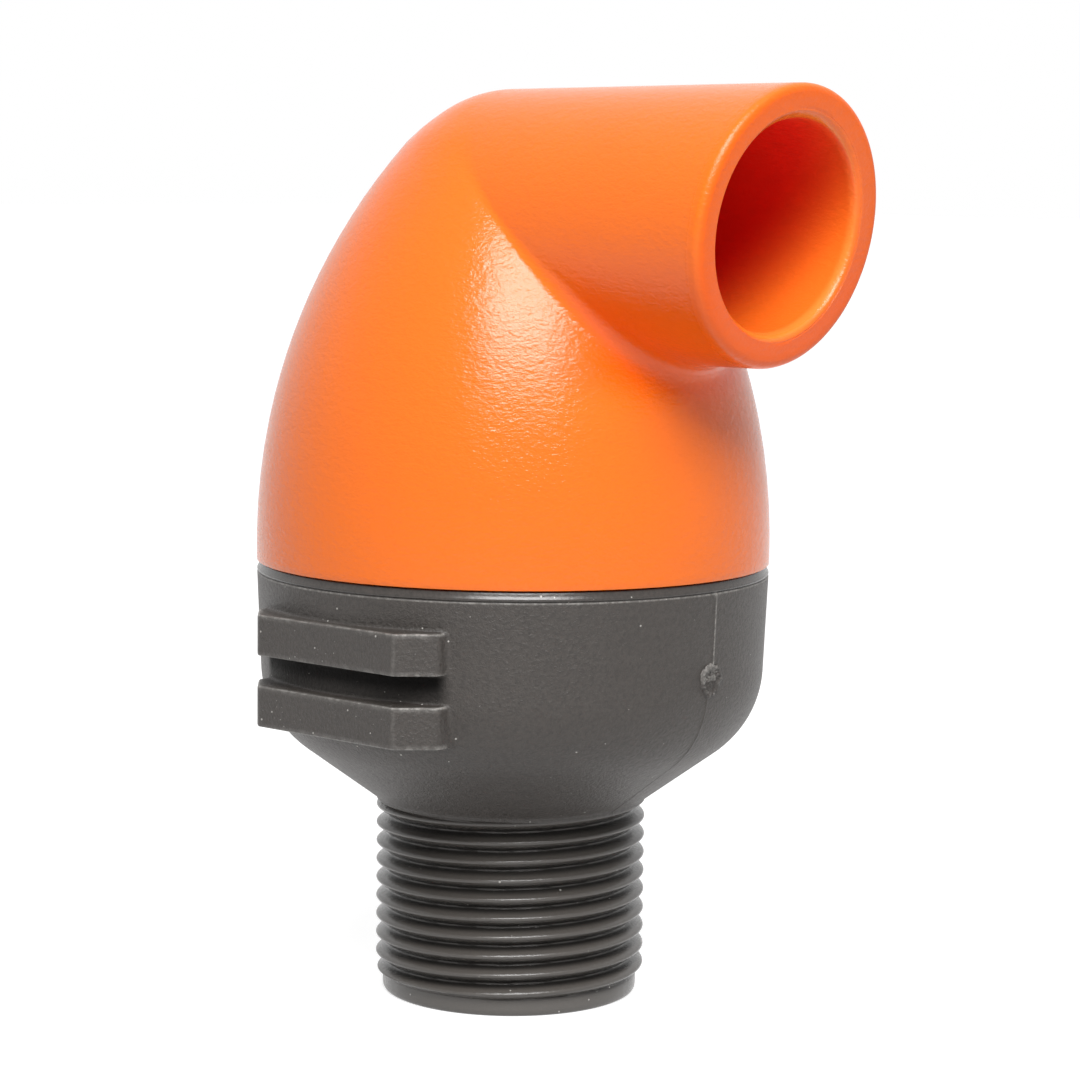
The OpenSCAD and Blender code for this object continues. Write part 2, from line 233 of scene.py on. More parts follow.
class Net:
    """A node tree that is built from wires."""

    def __init__(self, tree):
        self.tree = tree
        tree.nodes.clear()

    def node(self, kind, settings, sockets, output):
        made = self.tree.nodes.new(kind)
        for setting, value in settings.items():
            setattr(made, setting, value)
        for socket, value in sockets.items():
            if isinstance(value, Wire):
                self.tree.links.new(value.socket, made.inputs[socket])
            else:
                made.inputs[socket].default_value = value
        return Wire(self, made.outputs[output])

    def background_ray(self):
        """1 for the rays that show the background: to the camera, in a reflection or through clear matter."""
        kinds = ("Is Camera Ray", "Is Glossy Ray", "Is Transmission Ray")
        camera, glossy, clear = [self.node("ShaderNodeLightPath", {}, {}, kind) for kind in kinds]
        return 1.0 - (1.0 - camera) * (1.0 - glossy) * (1.0 - clear)

    def mix(self, factor, first, second):
        """Colour first where the factor is 0 and second where it is 1."""
        sockets = {0: factor, 6: first, 7: second}
        return self.node("ShaderNodeMix", {"data_type": "RGBA"}, sockets, 2)


class Finish(Net):
    """A material around a Principled shader, with patterns that are fixed to the piece."""

    def __init__(self, name, **constants):
        self.material = bpy.data.materials.new(name)
        self.material.use_nodes = True
        super().__init__(self.material.node_tree)
        self.shader = self.tree.nodes.new("ShaderNodeBsdfPrincipled")
        output = self.tree.nodes.new("ShaderNodeOutputMaterial")
        self.tree.links.new(self.shader.outputs[0], output.inputs["Surface"])
        for socket, value in constants.items():
            self.shader.inputs[socket.replace("_", " ")].default_value = value
        self.place = self.node("ShaderNodeTexCoord", {}, {}, "Object")

    def noise(self, size, detail=2.0, rough=0.5, place=None):
        """Noise with features of about that size in millimetres."""
        sockets = {"Vector": place or self.place, "Scale": 1.0 / (size * MM)}
        sockets.update({"Detail": detail, "Roughness": rough})
        return self.node("ShaderNodeTexNoise", {}, sockets, 0)

    def cells(self, size, output="Distance"):
        """Cells of about that size in millimetres: the distance to a cell's middle, or its chance colour."""
        sockets = {"Vector": self.place, "Scale": 1.0 / (size * MM)}
        return self.node("ShaderNodeTexVoronoi", {}, sockets, output)

    def axis(self, letter):
        return self.node("ShaderNodeSeparateXYZ", {}, {0: self.place}, letter)

    def into(self, socket, wire):
        self.tree.links.new(wire.socket, self.shader.inputs[socket])

    def bump(self, height, strength, depth):
        """Relief of that depth in millimetres."""
        sockets = {"Height": height, "Strength": strength, "Distance": depth * MM}
        self.into("Normal", self.node("ShaderNodeBump", {}, sockets, 0))


def shade(red, green, blue):
    """A colour as the eye reads it, 0 to 255, turned into scene light."""
    def light(value):
        value = value / 255
        return value / 12.92 if value < 0.04045 else ((value + 0.055) / 1.055) ** 2.4
    return (light(red), light(green), light(blue), 1.0)


def orange_plastic():
    """Moulded cap: glossy orange with a fine leathery skin and faint flow marks."""
    net = Finish("orange_plastic", IOR=1.43)
    flow = net.noise(14, 3)
    flat = net.node("ShaderNodeMapping", {}, {"Vector": net.place, "Scale": (1.0, 1.0, 1.9)}, 0)
    skin = net.noise(0.55, 2, 0.6, flat)
    folds = net.noise(1.2, 2, 0.55, flat)
    tone = net.mix(flow, shade(238, 108, 14), shade(241, 114, 18))
    tone = net.mix(skin.ramp(0.45, 0.75) * 0.2, tone, shade(231, 98, 11))
    # Squared distance from the spout's axis, or from the middle of its round end
    behind, aside, above = net.axis("X").math("MINIMUM", 0.0), net.axis("Y"), net.axis("Z") - AXIS_Z * MM
    off_axis = behind * behind + aside * aside + above * above
    bore = off_axis.ramp((OUTLET_R * MM + 0.0003) ** 2, (OUTLET_R * MM + 0.0001) ** 2)
    # Painted shade: the bore is painted dark red with depth, from the mouth on its upper side and further in
    # on its lower side
    deep = bore * (REACH * MM - net.axis("X") + above).ramp(-0.002, 0.016)
    # How far forward a spot is: REACH all over the leaning mouth
    ahead = net.axis("X") - above * math.tan(LEAN)
    face = ahead.ramp((REACH - 0.5) * MM, (REACH - 0.1) * MM)
    outer = off_axis.ramp(((SPOUT_R - 2.0) * MM) ** 2, ((SPOUT_R - 1.2) * MM) ** 2)
    edge = outer * ahead.ramp((REACH - 2.6) * MM, (REACH - 1.0) * MM)
    # Painted shade: a redder, darker tone under the spout, for the colour the dome throws back and the shade
    # there
    under = above.ramp(0.003, -0.009) * net.axis("X").ramp(0.016, 0.025)
    under = under * aside.math("ABSOLUTE").ramp(0.021, 0.013) * above.ramp(-0.021, -0.016)
    tone = net.mix(under * 0.5, tone, shade(246, 86, 12))
    # Painted light: the bore near the mouth and the lip's bevel are painted paler than the skin, as a painted
    # sheen and highlight, until the painted shade of deep turns the bore red in its depth
    inner = off_axis.ramp(((SPOUT_R - 2.8) * MM) ** 2, ((SPOUT_R - 3.3) * MM) ** 2)
    lip_slant = 0.0675
    bevel = inner * (ahead + (LIP_DEEP - REACH) * MM - aside * lip_slant).ramp(-0.0003, 0.0005)
    tone = net.mix(inner * 0.7, tone, shade(247, 124, 38))
    tone = net.mix(bevel * 0.5, tone, shade(255, 146, 62))
    # Painted shade: the flat face of the mouth is painted darker and redder
    tone = net.mix(face * 0.6, tone, shade(240, 92, 0))
    net.into("Base Color", net.mix(deep, tone, shade(244, 42, 28)))
    net.into("Roughness", 0.135 + skin * 0.08 + flow * 0.05 + face * 0.12 + edge * 0.14 + bore * 0.16)
    net.bump(skin * 0.5 + folds * 0.6, 1.0, 0.12)
    return net.material


def grey_plastic():
    """Moulded base: dull dark grey with fine speckle and dust, painted shade between the lugs and in the
    thread's valleys, painted light on the thread and its collar, pale edges from rubbing and a painted
    highlight, and a polished bead.
    """
    net = Finish("grey_plastic", IOR=1.5)
    speck = net.noise(0.5, 3, 0.75)
    cloud = net.noise(9, 4, 0.55)
    height = net.axis("Z")
    out, across = net.axis("Y").math("ABSOLUTE"), net.axis("X").math("ABSOLUTE")
    lug_top = BASE_H - LUG_DROP
    lugs = out.ramp(0.026, 0.029) * height.ramp((lug_top + 2.0) * MM, (lug_top + 0.3) * MM)
    dust_kind = net.cells(1.3, "Color")
    dust = (dust_kind.ramp(0.5 - lugs * 0.2, 1.0) * 0.12 - net.cells(1.3)).ramp(0.0, 0.03)
    fine = (net.cells(0.6, "Color").ramp(0.75 - lugs * 0.4, 1.0) * 0.16 - net.cells(0.6)).ramp(0.0, 0.04)
    # Painted shade in the gap between the lugs, darker towards the upper lug
    level_gap = (height - LUG_GAP_Z * MM).math("ABSOLUTE")
    recess = level_gap.ramp((LUG_GAP / 2 + 0.1) * MM, (LUG_GAP / 2 - 0.5) * MM) * across.ramp(0.0155, 0.0135)
    shade_under_lug = height.ramp((LUG_GAP_Z - 1.5) * MM, (LUG_GAP_Z + 0.7) * MM)
    painted_gap_shade = recess * out.ramp(0.024, 0.027) * (0.5 + 0.5 * shade_under_lug)
    bead = height.ramp((BASE_H - 1.28) * MM, (BASE_H - 1.2) * MM)
    thread = height.ramp((LEAD_LEN + THREAD_LEN) * MM, (LEAD_LEN + THREAD_LEN - 0.8) * MM)
    # Pale edges, partly from rubbing and partly a painted highlight along the lug edges
    worn = net.node("ShaderNodeAttribute", {"attribute_name": "worn"}, {}, "Fac")
    rubbed_and_highlit = worn * (0.4 + 0.6 * net.noise(0.8, 3, 0.7).ramp(0.42, 0.62))
    tone = net.mix(cloud, shade(56, 51, 47), shade(65, 60, 56))
    tone = net.mix(speck.ramp(0.35, 0.7) * 0.7, tone, shade(41, 37, 34))
    around = (out * out + across * across).math("SQRT")
    # Painted shade in the thread's valleys
    valley = thread * around.ramp((THREAD_R - 0.35) * MM, (THREAD_R - THREAD_DEPTH + 0.15) * MM)
    collar = height.ramp((COLLAR_H + 0.2) * MM, (COLLAR_H - 0.2) * MM)
    # Painted light: the thread is painted paler than the wall
    tone = net.mix(thread * 0.7, tone, shade(88, 84, 80))
    tone = net.mix(valley * (1.0 - collar) * 0.7, tone, shade(24, 23, 22))
    # Painted reflection: the plain collar is painted paler, for the floor it faces
    tone = net.mix(collar * 0.6, tone, shade(100, 96, 92))
    tone = net.mix(painted_gap_shade * 0.95, tone, shade(16, 15, 14))
    tone = net.mix(rubbed_and_highlit * 0.75, tone, shade(180, 177, 172))
    tone = net.mix(fine * net.noise(8, 3).ramp(0.42, 0.6) * 0.65, tone, shade(190, 187, 181))
    net.into("Base Color", net.mix(dust * 0.75, tone, shade(205, 202, 196)))
    rough = (0.34 + speck * 0.16 + cloud * 0.08) * (1.0 - bead * 0.5 - thread * 0.5)
    net.into("Roughness", rough + painted_gap_shade * 0.35)
    # A dark metallic share takes the plastic's shine away as painted shade, in the gap between the lugs and
    # in the thread's valleys
    net.into("Metallic", painted_gap_shade * 0.8 + valley * (1.0 - collar) * 0.35)
    net.bump(speck, 1.0 - bead * 0.85 - thread * 0.7, 0.2)
    return net.material


def plain_plastic(name, dark, pale, rough, grain):
    """Inner mouldings: soft mottled colour and a light grain."""
    net = Finish(name, IOR=1.48)
    cloud = net.noise(6, 3)
    fine = net.noise(grain, 2, 0.6)
    net.into("Base Color", net.mix(cloud * 0.6 + fine * 0.4, dark, pale))
    net.into("Roughness", rough + fine * 0.15)
    net.bump(fine, 0.25, 0.03)
    return net.material


def turned_brass():
    """Nozzle: brass with fine lathe marks round its axis."""
    net = Finish("turned_brass", Metallic=1.0)
    marks = net.noise(0.25, 2, 0.5, net.node("ShaderNodeCombineXYZ", {}, {"Z": net.axis("Z")}, 0))
    stain = net.noise(2.5, 3)
    net.into("Base Color", net.mix(stain, shade(196, 158, 84), shade(222, 188, 112)))
    net.into("Roughness", 0.22 + marks * 0.16 + stain * 0.08)
    net.bump(marks, 0.2, 0.02)
    return net.material


# Camera at the photograph's viewing angle

def make_camera():
    place = Vector((267.3, -293.7, 101.35))
    forward = Vector((-0.6731, 0.7395, 0.0)).normalized()
    right = Vector((forward.y, -forward.x, 0.0))
    yaw, pitch, roll = math.radians(0.476), math.radians(6.522), math.radians(0.645)
    ahead = forward * math.cos(yaw) + right * math.sin(yaw)
    side = right * math.cos(yaw) - forward * math.sin(yaw)
    ahead = ahead * math.cos(pitch) - Vector((0, 0, 1)) * math.sin(pitch)
    top = side.cross(ahead)
    across = side * math.cos(roll) + top * math.sin(roll)
    upward = top * math.cos(roll) - side * math.sin(roll)
    data = bpy.data.cameras.new("camera")
    data.lens = 108.3
    data.sensor_width = 36
    data.clip_start = 0.01
    camera = bpy.data.objects.new("camera", data)
    turn = Matrix((across, upward, -ahead)).transposed().to_4x4()
    camera.matrix_world = Matrix.Translation(place * MM) @ turn
    bpy.context.scene.collection.objects.link(camera)
    bpy.context.scene.camera = camera


# Cap: one moulding, skinned from the blind end of the bore out over the mouth, round the dome and up inside

ARC_Z = BASE_H + BAND_H
ARC_K = CROWN_PROUD - SPOUT_R
ARC_R = (JOINT_R ** 2 + (AXIS_Z - ARC_Z) ** 2 - ARC_K ** 2) / (2 * (JOINT_R + ARC_K))
ARC_MID = JOINT_R - ARC_R
DOME_TOP_SHARE, FOOT_SHARE = 0.951, 0.6
DOME_TOP = AXIS_Z + SPOUT_R * DOME_TOP_SHARE
CAP_FOOT = BASE_H + JOINT_GAP * FOOT_SHARE


def dome_radius(z):
    """Radius of the dome below the spout: upright on the band, then an arc."""
    return ARC_MID + math.sqrt(ARC_R ** 2 - max(z - ARC_Z, 0.0) ** 2)


def cap_skin(x, y, z):
    """Distance outside the cap's outer skin."""
    sunk = z - AXIS_Z + SPOUT_SAG * (1.0 - np.clip(x / REACH, 0.0, 1.0))
    narrow = y / (1.0 + MOUTH_OVAL * smooth(8.0, REACH, x))
    spout = np.sqrt((CROWN_SQUASH * np.minimum(x, 0.0)) ** 2 + narrow ** 2 + sunk ** 2) - SPOUT_R
    around = np.hypot(x, y)
    bowl = np.hypot(around - ARC_MID, z - ARC_Z) - ARC_R
    dome = meet(np.where(z > ARC_Z, bowl, around - JOINT_R), z - DOME_TOP, DOME_ROUND)
    fillet = CREASE_TIGHT + (CREASE_SOFT - CREASE_TIGHT) * smooth(10.0, 31.0, x)
    return join(spout, dome, fillet)


def cap_rings():
    """All rings of the cap in the order of its skin."""
    turn = np.linspace(0.0, 2 * math.pi, CAP_COLUMNS, endpoint=False)
    cos, sin = np.cos(turn), np.sin(turn)
    mouth_up = np.array([math.sin(LEAN), 0.0, math.cos(LEAN)])
    rings = []

    def upright(x, radius):
        rings.append(np.stack([np.full_like(turn, x), radius * sin, AXIS_Z + radius * cos], 1))

    def leaning(depth, radius):
        along = REACH - np.broadcast_to(depth, turn.shape) / math.cos(LEAN)
        middle = np.outer(along, (1.0, 0.0, 0.0)) + np.array([0.0, 0.0, AXIS_Z])
        spread = radius / np.sqrt(sin ** 2 + (cos * math.cos(LEAN)) ** 2)
        oval = 1.0 + MOUTH_OVAL * smooth(OUTLET_R, SPOUT_R - MOUTH_EDGE, radius)
        flat = np.outer(spread * sin * oval, (0.0, 1.0, 0.0)) + np.outer(spread * cos, mouth_up)
        rings.append(middle + flat)

    def level(radius, z):
        radius = np.broadcast_to(radius, turn.shape)
        rings.append(np.stack([-radius * cos, radius * sin, np.full_like(turn, z)], 1))

    # Bore from its round blind end to the mouth
    for step in np.radians((77, 66, 54, 41, 28, 14)):
        upright(-OUTLET_R * math.sin(step), OUTLET_R * math.cos(step))
    for x in (0.0, 9.0, 18.0, 27.0, 34.0):
        upright(x, OUTLET_R)
    lip = MOUTH_LIP * (LIP_SHARE - LIP_SWING * sin)
    lip_deep = LIP_DEEP - LIP_DEEP_SWING * sin
    last = np.radians(LIP_TURN + LIP_TURN_SWING * sin)
    for part in np.linspace(0.0, 1.0, 11):
        step = part * last
        share = (1.0 - np.cos(step)) / (1.0 - np.cos(last))
        leaning(lip_deep * (1.0 - np.sin(step) / np.sin(last)), OUTLET_R + lip * share)
    # A fine witness line round the lip on the +Y side, then the flat face and its rounded outer edge
    witness = smooth(-0.3, 0.4, sin)
    for depth, out in ((0.0, 0.06), (0.06, 0.11), (0.06, 0.18), (0.0, 0.24), (0.0, 0.6), (0.0, 1.2)):
        leaning(depth * witness, OUTLET_R + lip + out)
    for step in np.radians(np.linspace(0, 84, 11)):
        leaning(MOUTH_EDGE * (1 - math.cos(step)), SPOUT_R - MOUTH_EDGE * (1 - math.sin(step)))
    # Planes that fan from the mouth down to the level of the pivot, close together at the crease
    mouth_mid = np.array([REACH - MOUTH_EDGE / math.cos(LEAN), 0.0, AXIS_Z])
    pivot = np.array([mouth_mid[0] - (AXIS_Z - FAN_Z) * math.tan(LEAN), 0.0, FAN_Z])
    first = math.atan2(AXIS_Z - pivot[2], mouth_mid[0] - pivot[0])
    first_reach = math.hypot(AXIS_Z - pivot[2], mouth_mid[0] - pivot[0])
    fan = np.concatenate([
        np.linspace(math.degrees(first), CREASE_FROM, 20, endpoint=False),
        np.linspace(CREASE_FROM, CREASE_TO, 56, endpoint=False),
        np.linspace(CREASE_TO, 180, 16),
    ])
    for angle in np.radians(fan):
        out = np.array([math.cos(angle), 0.0, math.sin(angle)])
        share = (angle - first) / (math.pi - first)
        middle = pivot + out * (first_reach + (pivot[0] - first_reach) * share)
        way = np.outer(cos, out) + np.outer(sin, (0.0, 1.0, 0.0))
        rings.append(along_rays(cap_skin, np.repeat(middle[None], CAP_COLUMNS, 0), way, 70))
    # Dome below the spout, then the skirt with its ring groove and thread
    for z in (67.5, 64.0, 60.5, 57.5, ARC_Z, CAP_FOOT + 0.9, CAP_FOOT + 0.14):
        level(dome_radius(z), z)
    level(JOINT_R - 0.04, CAP_FOOT + 0.04)
    level(JOINT_R - 0.14, CAP_FOOT)
    skirt_r = JOINT_R - RIM_WALL - SKIRT_CLEAR
    skirt_z = BASE_H - SKIRT_LEN
    groove_top = BASE_H - GROOVE_DROP + GROOVE_H / 2
    for radius, z in ((skirt_r, CAP_FOOT), (skirt_r, groove_top), (GROOVE_R, groove_top),
                      (GROOVE_R, groove_top - GROOVE_H), (skirt_r, groove_top - GROOVE_H)):
        level(radius, z)
    for z in np.arange(groove_top - GROOVE_H - 1.0, skirt_z + 0.3, -0.25):
        wave = thread_wave(z, math.pi - turn, CAP_PITCH, skirt_z)
        level(skirt_r - THREAD_RELIEF * (1 - smooth(0.25, 0.8, wave)), z)
    # Up the inside of the chamber and round the turret into the seat's pocket
    chamber_r = skirt_r - SKIRT_WALL
    turret_z = AXIS_Z - SPOUT_R - TURRET_DROP
    for radius, z in ((skirt_r - THREAD_RELIEF, skirt_z + 0.2), (skirt_r - THREAD_RELIEF - 0.2, skirt_z),
                      (chamber_r + 0.2, skirt_z), (chamber_r, skirt_z + 0.2), (chamber_r, 65.0),
                      (chamber_r, 77.4), (chamber_r - 0.6, 79.0), (chamber_r - 1.6, 80.7),
                      (TURRET_R + 0.8, 81.4), (TURRET_R, 80.6), (TURRET_R, turret_z + 0.2),
                      (TURRET_R - 0.2, turret_z), (SEAT_POCKET_R + 0.15, turret_z),
                      (SEAT_POCKET_R, turret_z + 0.15), (SEAT_POCKET_R, turret_z + SEAT_H + 0.05)):
        level(radius, z)
    return rings


def make_cap(material):
    """Skins the cap and opens the large orifice."""
    bm = bmesh.new()
    blind, ceiling = grow_rings(bm, cap_rings())
    close_row(bm, blind)
    close_row(bm, ceiling)
    cap = finish_piece(bm, "cap_moulding", material)
    # The large orifice opens the chamber into the bore
    tool = bmesh.new()
    low, high = AXIS_Z - SPOUT_R, AXIS_Z - 2.0
    upward = Matrix.Translation((0, 0, (low + high) / 2))
    bmesh.ops.create_cone(tool, cap_ends=True, segments=96, radius1=ORIFICE_R, radius2=ORIFICE_R,
                          depth=high - low, matrix=upward)
    cutter = finish_piece(tool, "orifice_cutter", material)
    cut = cap.modifiers.new("orifice", "BOOLEAN")
    cut.operation = "DIFFERENCE"
    cut.solver = "EXACT"
    cut.object = cutter
    bpy.context.view_layer.update()
    whole = bpy.data.meshes.new_from_object(cap.evaluated_get(bpy.context.evaluated_depsgraph_get()))
    cap.modifiers.clear()
    old = cap.data
    cap.data = whole
    bpy.data.meshes.remove(old)
    bpy.data.objects.remove(cutter)
    whole.name = "cap_moulding"
    whole.set_sharp_from_angle(angle=SHARP)
    return cap


# Base: one moulding, skinned from the rim down outside and back up inside

CONE_TOP = LEAD_LEN + THREAD_LEN
SIDE_N = np.array([math.cos(BASE_DRAFT), -math.sin(BASE_DRAFT)])
CONE_N = np.array([math.sin(CONE_ANGLE), -math.cos(CONE_ANGLE)])
SIDE_D = float(SIDE_N @ (JOINT_R, BASE_H))
CONE_D = float(CONE_N @ (THREAD_R, CONE_TOP))
SHOULDER_MID = np.linalg.solve(np.array([SIDE_N, CONE_N]), (SIDE_D - SHOULDER_R, CONE_D - SHOULDER_R))
SIDE_END = SHOULDER_MID + SHOULDER_R * SIDE_N
CONE_END = SHOULDER_MID + SHOULDER_R * CONE_N
LUG_END_X = LUG_HALF_W + LUG_CHAMFER


def side_radius(z):
    """Radius of the base's drafted wall."""
    return (SIDE_D - SIDE_N[1] * z) / SIDE_N[0]


def body_radius(z):
    """Radius of the base's outside between the cone and the rim."""
    arc = SHOULDER_MID[0] + np.sqrt(np.maximum(SHOULDER_R ** 2 - (z - SHOULDER_MID[1]) ** 2, 0.0))
    cone = (CONE_D - CONE_N[1] * z) / CONE_N[0]
    return np.where(z > SIDE_END[1], side_radius(z), np.where(z > CONE_END[1], arc, cone))


def lug_plan(x, y):
    """Distance outside a lug's plan: flat, 45 degree faces and ends."""
    across, out = np.abs(x), np.abs(y)
    slope = (across + out - LUG_HALF_W - LUG_FLAT) / math.sqrt(2)
    corner_round, end_round = 0.35, 0.3
    plan = meet(out - LUG_FLAT, slope, corner_round)
    return meet(plan, across - LUG_END_X, end_round)


def lug_skin(middle):
    """Distance outside the body with a lug on each side at that height."""
    def skin(x, y, z):
        # The wall leans a little, so that its distance is less than the difference of the radii
        lean_share = 0.97
        body = (np.hypot(x, y) - body_radius(z)) * lean_share
        lug = meet(lug_plan(x, y), np.abs(z - middle) - LUG_H / 2, LUG_EDGE)
        return join(body, lug, LUG_ROOT)
    return skin


def base_columns():
    """Angles round the base, close together at the lugs' corners and the parting seam."""
    close = []
    flat_end = math.degrees(math.atan2(LUG_HALF_W, LUG_FLAT))
    slope_end = math.degrees(math.atan2(LUG_END_X, LUG_FLAT - LUG_CHAMFER))
    spots = [flat_end + d for d in (-0.9, -0.5, -0.2, 0.1, 0.4, 0.8)]
    spots += list(np.arange(slope_end - 1.2, slope_end + 2.8, 0.3))
    for side in (-90, 90):
        for spot in spots:
            close += [side - spot, side + spot]
    for seam in (0.3, 1.8, 180):
        close += [seam + d for d in (-0.6, -0.32, -0.16, 0.0, 0.16, 0.32, 0.6)]
    close = np.sort(np.mod(close, 360))
    plain = np.arange(0, 360, 1.8)
    away = np.abs((plain[:, None] - close[None] + 180) % 360 - 180).min(1)
    return np.radians(np.sort(np.concatenate([close, plain[away > 0.7]])))


def base_rings():
    """All rings of the base, from the rim down outside and back up inside."""
    angle = base_columns()
    cos, sin = np.cos(angle), np.sin(angle)
    front_gap = (angle + math.pi) % (2 * math.pi) - math.pi
    back_gap = np.abs(angle - math.pi)
    rings = []

    def level(radius, z, seam=0.0):
        z = np.broadcast_to(z, angle.shape)
        seam_at = math.radians(0.3) + math.radians(1.5) * smooth(SCAR_Z - 0.5, SCAR_Z + 0.5, z)
        seam_gap = np.minimum(np.abs(front_gap - seam_at), back_gap)
        radius = radius + seam * np.exp(-(seam_gap * JOINT_R / 0.11) ** 2)
        rings.append(np.stack([radius * cos, radius * sin, z], 1))

    def lug_rows(middle, rays):
        """Rows of rays that fan up and down from inside the wall at a lug's middle height."""
        hub = 26.0
        skin = lug_skin(middle)
        reach = along_rays(lambda x, y, z: np.minimum(lug_plan(x, y), np.hypot(x, y) - body_radius(z)),
                           np.stack([hub * cos, hub * sin, np.full_like(angle, middle)], 1),
                           np.stack([cos, sin, np.zeros_like(angle)], 1), 14)
        tip = np.hypot(reach[:, 0], reach[:, 1])
        for up, share, extra in rays:
            edge_z = middle + up * LUG_H / 2
            root = math.atan2(LUG_H / 2, float(body_radius(np.array(edge_z))) - hub)
            edge = np.minimum(np.arctan2(LUG_H / 2, tip - hub), root - math.radians(6.0))
            past_edge, short_of_edge = max(share, 0.0), min(share, 0.0)
            tilt = up * (edge + (root - edge) * past_edge + edge * short_of_edge + math.radians(extra))
            way = np.stack([np.cos(tilt) * cos, np.cos(tilt) * sin, np.sin(tilt)], 1)
            start = np.stack([hub * cos, hub * sin, np.full_like(angle, middle)], 1)
            found = along_rays(skin, start, way, 16)
            level(np.hypot(found[:, 0], found[:, 1]), found[:, 2], SEAM_H)

    # Each ray's share of the way from the lug's edge to its root, and degrees added
    half = [(1, 11), (1, 7), (1, 4.2), (1, 2.4), (1, 1.2), (1, 0.3), (0.7, 0), (0.35, 0), (0.1, 0), (0, 0.5),
            (0, 0.1), (0, -0.35), (0, -0.8), (0, -1.5), (-0.25, 0), (-0.6, 0)]
    rays = [(1, share, extra) for share, extra in half] + [(1, -1, 0)]
    rays += [(-1, share, extra) for share, extra in reversed(half)]

    # Rim: a polished bead under the joint, then a small step on to the wall
    mouth_r = JOINT_R - RIM_WALL
    bead = ((mouth_r + 0.3, 0.0), (JOINT_R - 0.6, 0.0), (JOINT_R - 0.42, 0.06), (JOINT_R - 0.34, 0.2),
            (JOINT_R - 0.28, 0.42), (JOINT_R - 0.21, 0.6), (JOINT_R - 0.14, 0.72), (JOINT_R - 0.08, 0.82),
            (JOINT_R - 0.05, 0.92), (JOINT_R - 0.06, 1.02), (JOINT_R - 0.12, 1.1), (JOINT_R - 0.22, 1.16),
            (JOINT_R - 0.23, 1.22), (JOINT_R - 0.1, 1.28), (JOINT_R - 0.07, 1.34))
    for radius, drop in bead:
        level(radius, BASE_H - drop)
    for drop in (1.5, 2.0):
        level(side_radius(BASE_H - drop), BASE_H - drop, SEAM_H)
    lug_rows(LUG_UPPER, rays)
    lug_rows(LUG_LOWER, rays)
    # Shoulder and cone
    lowest = rings[-1][:, 2].min()
    for z in np.linspace(lowest, CONE_END[1], 9)[1:]:
        level(body_radius(np.array(z)), z, SEAM_H)
    for part in (0.25, 0.5, 0.75, 0.93):
        spot = CONE_END + (np.array([THREAD_R, CONE_TOP]) - CONE_END) * part
        level(spot[0], spot[1], SEAM_H)
    level(THREAD_R + 0.1, CONE_TOP + 0.1, SEAM_H)
    # Inlet thread, cut back at its start by the lead-in
    root_r = THREAD_R - THREAD_DEPTH
    for z in np.arange(CONE_TOP - 0.08, COLLAR_H, -PITCH / 20):
        runout = smooth(CONE_TOP - 0.9, CONE_TOP - 0.3, z)
        wave = np.maximum(thread_wave(z, angle, PITCH, THREAD_PHASE), runout)
        radius = np.minimum(root_r + THREAD_DEPTH * wave, LEAD_R + 1.3 * (z - COLLAR_H))
        radius = np.maximum(radius, LEAD_R - 0.06 - 0.35 * (z - COLLAR_H))
        level(radius, z, 0.05 * wave)
    # Plain collar, end face, bore and the inside of the shell
    for radius, z in ((LEAD_R, COLLAR_H - 0.12), (LEAD_R, 0.8), (LEAD_R - 0.06, 0.4), (LEAD_R - 0.2, 0.14),
                      (LEAD_R - 0.42, 0.02), (LEAD_R - 0.7, 0.0), (BORE_R + 0.6, 0.0), (BORE_R + 0.15, 0.12),
                      (BORE_R, 0.5)):
        level(radius, z)
    bore_top = (CONE_D - BASE_WALL - CONE_N[0] * BORE_R) / CONE_N[1]
    level(BORE_R, bore_top - 0.3)
    level(BORE_R + 0.3, bore_top + 0.2)
    arc = np.linspace(math.atan2(CONE_N[1], CONE_N[0]), math.atan2(SIDE_N[1], SIDE_N[0]), 9)
    for step in arc:
        spot = SHOULDER_MID + (SHOULDER_R - BASE_WALL) * np.array([math.cos(step), math.sin(step)])
        level(spot[0], spot[1])
    mouth_z = BASE_H - SKIRT_LEN - 0.4
    level(side_radius(mouth_z) - BASE_WALL, mouth_z - 0.2)
    level(side_radius(mouth_z) - BASE_WALL + 0.2, mouth_z)
    level(mouth_r, mouth_z)
    for z in np.arange(mouth_z + 0.6, BASE_H - 5.0, 0.25):
        level(mouth_r + 0.35 * smooth(0.3, 0.8, thread_wave(z, angle, CAP_PITCH, mouth_z)), z)
    level(mouth_r, BASE_H - 4.8)
    level(mouth_r, BASE_H - 0.3)
    return rings


def add_gate_scar(bm):
    """The rough round spot where the base was fed in its mould, low on the +X side."""
    rows = []
    turn = np.linspace(0, 2 * math.pi, SCAR_POINTS, endpoint=False)
    chance = np.random.default_rng(7)
    ragged = 1 + 0.07 * np.sin(3 * turn + 0.4) + 0.05 * np.sin(7 * turn + 2.0)
    ragged = ragged + 0.04 * chance.standard_normal(SCAR_POINTS)
    # Radius, height above the wall and roughness of each row
    heights = ((2.15, -0.4, 0.0), (2.1, 0.03, 0.02), (1.95, 0.16, 0.06), (1.7, 0.27, 0.1), (1.45, 0.22, 0.1),
               (1.2, 0.08, 0.08), (0.95, 0.02, 0.06), (0.7, 0.1, 0.06), (0.5, 0.2, 0.05), (0.25, 0.1, 0.03))
    for radius, height, rough in heights:
        out = height + rough * chance.standard_normal(SCAR_POINTS)
        y = SCAR_Y + radius * ragged * np.cos(turn)
        z = SCAR_Z + radius * ragged * np.sin(turn)
        rows.append(np.stack([np.sqrt(side_radius(z) ** 2 - y ** 2) + out, y, z], 1))
    first, last = grow_rings(bm, rows)
    close_row(bm, first)
    close_row(bm, last)


